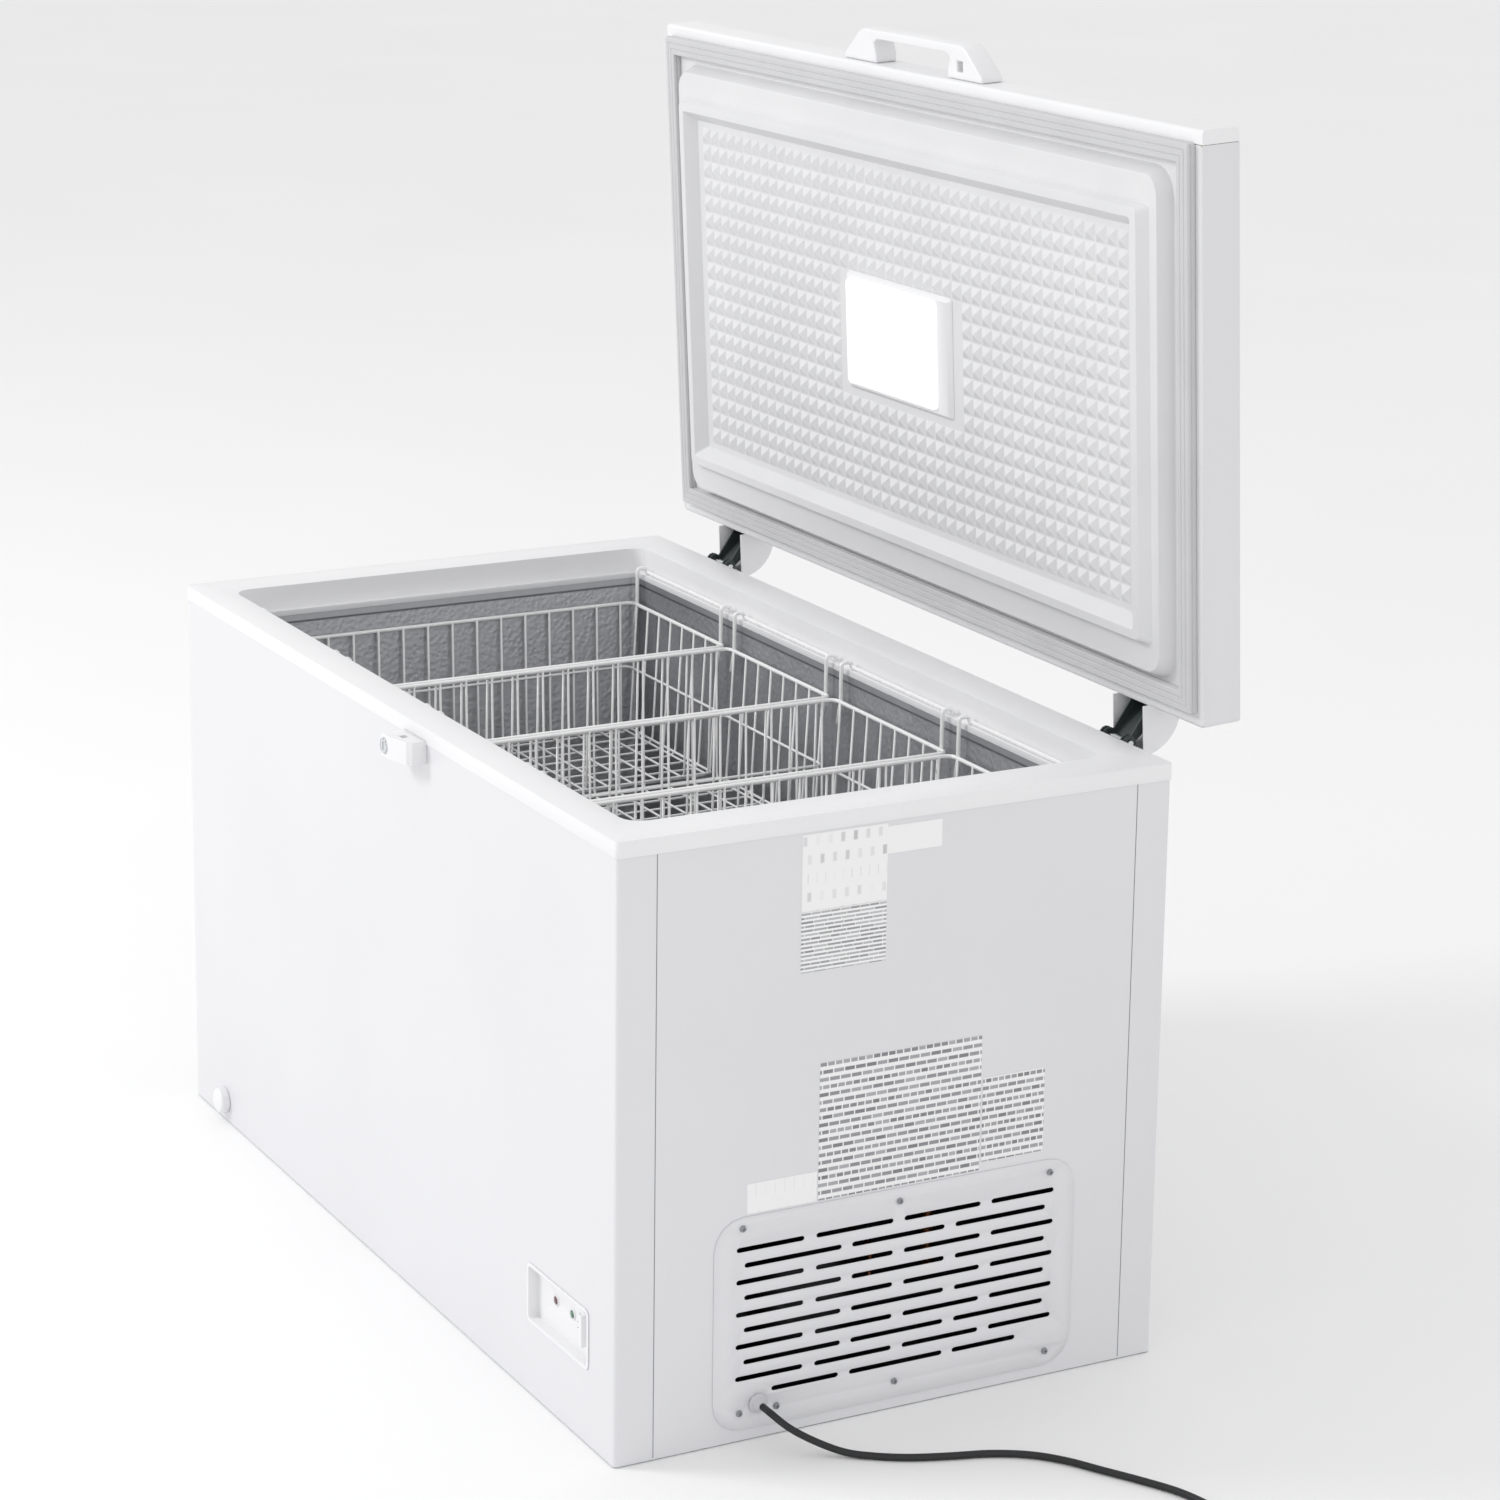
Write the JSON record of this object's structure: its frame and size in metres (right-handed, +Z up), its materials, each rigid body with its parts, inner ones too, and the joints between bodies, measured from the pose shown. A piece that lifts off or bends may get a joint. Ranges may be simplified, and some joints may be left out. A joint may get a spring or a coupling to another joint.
{
  "type": "chest freezer",
  "caption": "Chest freezer with a lift-up lid standing open, aluminium-lined tub, hanging wire baskets, front lock and controls, and a vent grille on its right end.",
  "frame": {"origin": "centre of the base's underside, on the floor", "axes": "+Z up, -Y towards the front with the lock and controls, +X towards the end with the vent grille"},
  "size_m": [2.0185, 0.8993, 1.6057],
  "materials": {
    "white_sheet": "satin",
    "galvanised": "satin",
    "foam": "matte",
    "stucco_aluminium": "satin",
    "white_plastic": "satin",
    "lens": "gloss",
    "grey_plastic": "matte",
    "grey_rubber": "matte",
    "red_lens": "gloss",
    "green_lens": "gloss",
    "zinc": "satin",
    "chrome": "polished",
    "dark_steel": "satin",
    "black_paint": "satin",
    "black_plastic": "matte",
    "copper": "satin",
    "aluminium": "satin",
    "coated_wire": "gloss",
    "cord_rubber": "matte",
    "tie_plastic": "matte"
  },
  "bodies": {
    "cabinet": {"front_panel": "white_sheet", "rear_panel": "white_sheet", "left_end_panel": "white_sheet", "right_end_panel": "white_sheet", "base_pan": "galvanised", "foam_insulation": "foam", "inner_liner": "stucco_aluminium", "top_collar": "white_plastic", "drain_tube": "grey_plastic", "control_panel": "white_plastic", "pilot_lamp_red": "red_lens", "pilot_lamp_green": "green_lens", "thermostat_body": "grey_plastic", "lock_body": "white_plastic", "vent_grille": "white_sheet", "cord_strain_relief": "grey_plastic", "vent_screw_1": "zinc", "vent_screw_2": "zinc", "vent_screw_3": "zinc", "vent_screw_4": "zinc", "vent_screw_5": "zinc", "vent_screw_6": "zinc", "vent_screw_7": "zinc", "compressor_mount_plate": "dark_steel", "compressor": "black_paint", "compressor_relay_cover": "black_plastic", "suction_tube": "copper", "filter_drier": "copper", "evaporator_coil": "aluminium", "condenser_coil": "dark_steel", "hinge_bracket_left": "dark_steel", "hinge_pin_left": "chrome", "hinge_housing_left": "white_plastic", "hinge_bracket_right": "dark_steel", "hinge_pin_right": "chrome", "hinge_housing_right": "white_plastic", "power_cord": "cord_rubber", "cord_coil": "cord_rubber", "power_plug": "cord_rubber", "cord_tie": "tie_plastic"},
    "lid": {"lid_outer_shell": "white_sheet", "lid_foam": "foam", "lid_inner_liner": "white_plastic", "lid_front_trim": "white_plastic", "lid_gasket": "grey_rubber", "lid_handle": "white_plastic", "lamp_base": "white_plastic", "lamp_lens": "lens", "hinge_arm_left": "dark_steel", "hinge_shroud_left": "white_plastic", "hinge_arm_right": "dark_steel", "hinge_shroud_right": "white_plastic"},
    "thermostat_knob": {"thermostat_knob": "white_plastic"},
    "lock_cylinder": {"lock_cylinder": "chrome"},
    "drain_cap": {"drain_cap": "white_plastic"},
    "tub_drain_plug": {"tub_drain_plug": "grey_rubber"},
    "basket_1": {"basket_1": "coated_wire"},
    "basket_2": {"basket_2": "coated_wire"},
    "basket_3": {"basket_3": "coated_wire"},
    "basket_4": {"basket_4": "coated_wire"}
  },
  "joints": [
    {"name": "lid_hinge", "type": "hinge", "parent": "cabinet", "child": "lid", "pos_m": [0, 0.4069, 0.7687], "axis": [1, 0, 0], "range_deg": [0, 87.1]},
    {"name": "thermostat_turn", "type": "hinge", "parent": "cabinet", "child": "thermostat_knob", "pos_m": [0.603, -0.369, 0.138], "axis": [0, 1, 0], "range_deg": [0, 300]},
    {"name": "key_turn", "type": "hinge", "parent": "cabinet", "child": "lock_cylinder", "pos_m": [0.104, -0.4, 0.748], "axis": [0, 1, 0], "range_deg": [0, 90]},
    {"name": "drain_cap_pull", "type": "slide", "parent": "cabinet", "child": "drain_cap", "axis": [0, -1, 0], "range_m": [0, 0.03]},
    {"name": "tub_plug_lift", "type": "slide", "parent": "cabinet", "child": "tub_drain_plug", "axis": [0, 0, 1], "range_m": [0, 0.03]},
    {"name": "basket_1_slide", "type": "slide", "parent": "cabinet", "child": "basket_1", "axis": [1, 0, 0], "range_m": [-0.0025, 0.0025]},
    {"name": "basket_2_slide", "type": "slide", "parent": "cabinet", "child": "basket_2", "axis": [1, 0, 0], "range_m": [-0.0025, 0.0025]},
    {"name": "basket_3_slide", "type": "slide", "parent": "cabinet", "child": "basket_3", "axis": [1, 0, 0], "range_m": [-0.0025, 0.0025]},
    {"name": "basket_4_slide", "type": "slide", "parent": "cabinet", "child": "basket_4", "axis": [1, 0, 0], "range_m": [-0.0025, 0.0025]}
  ]
}
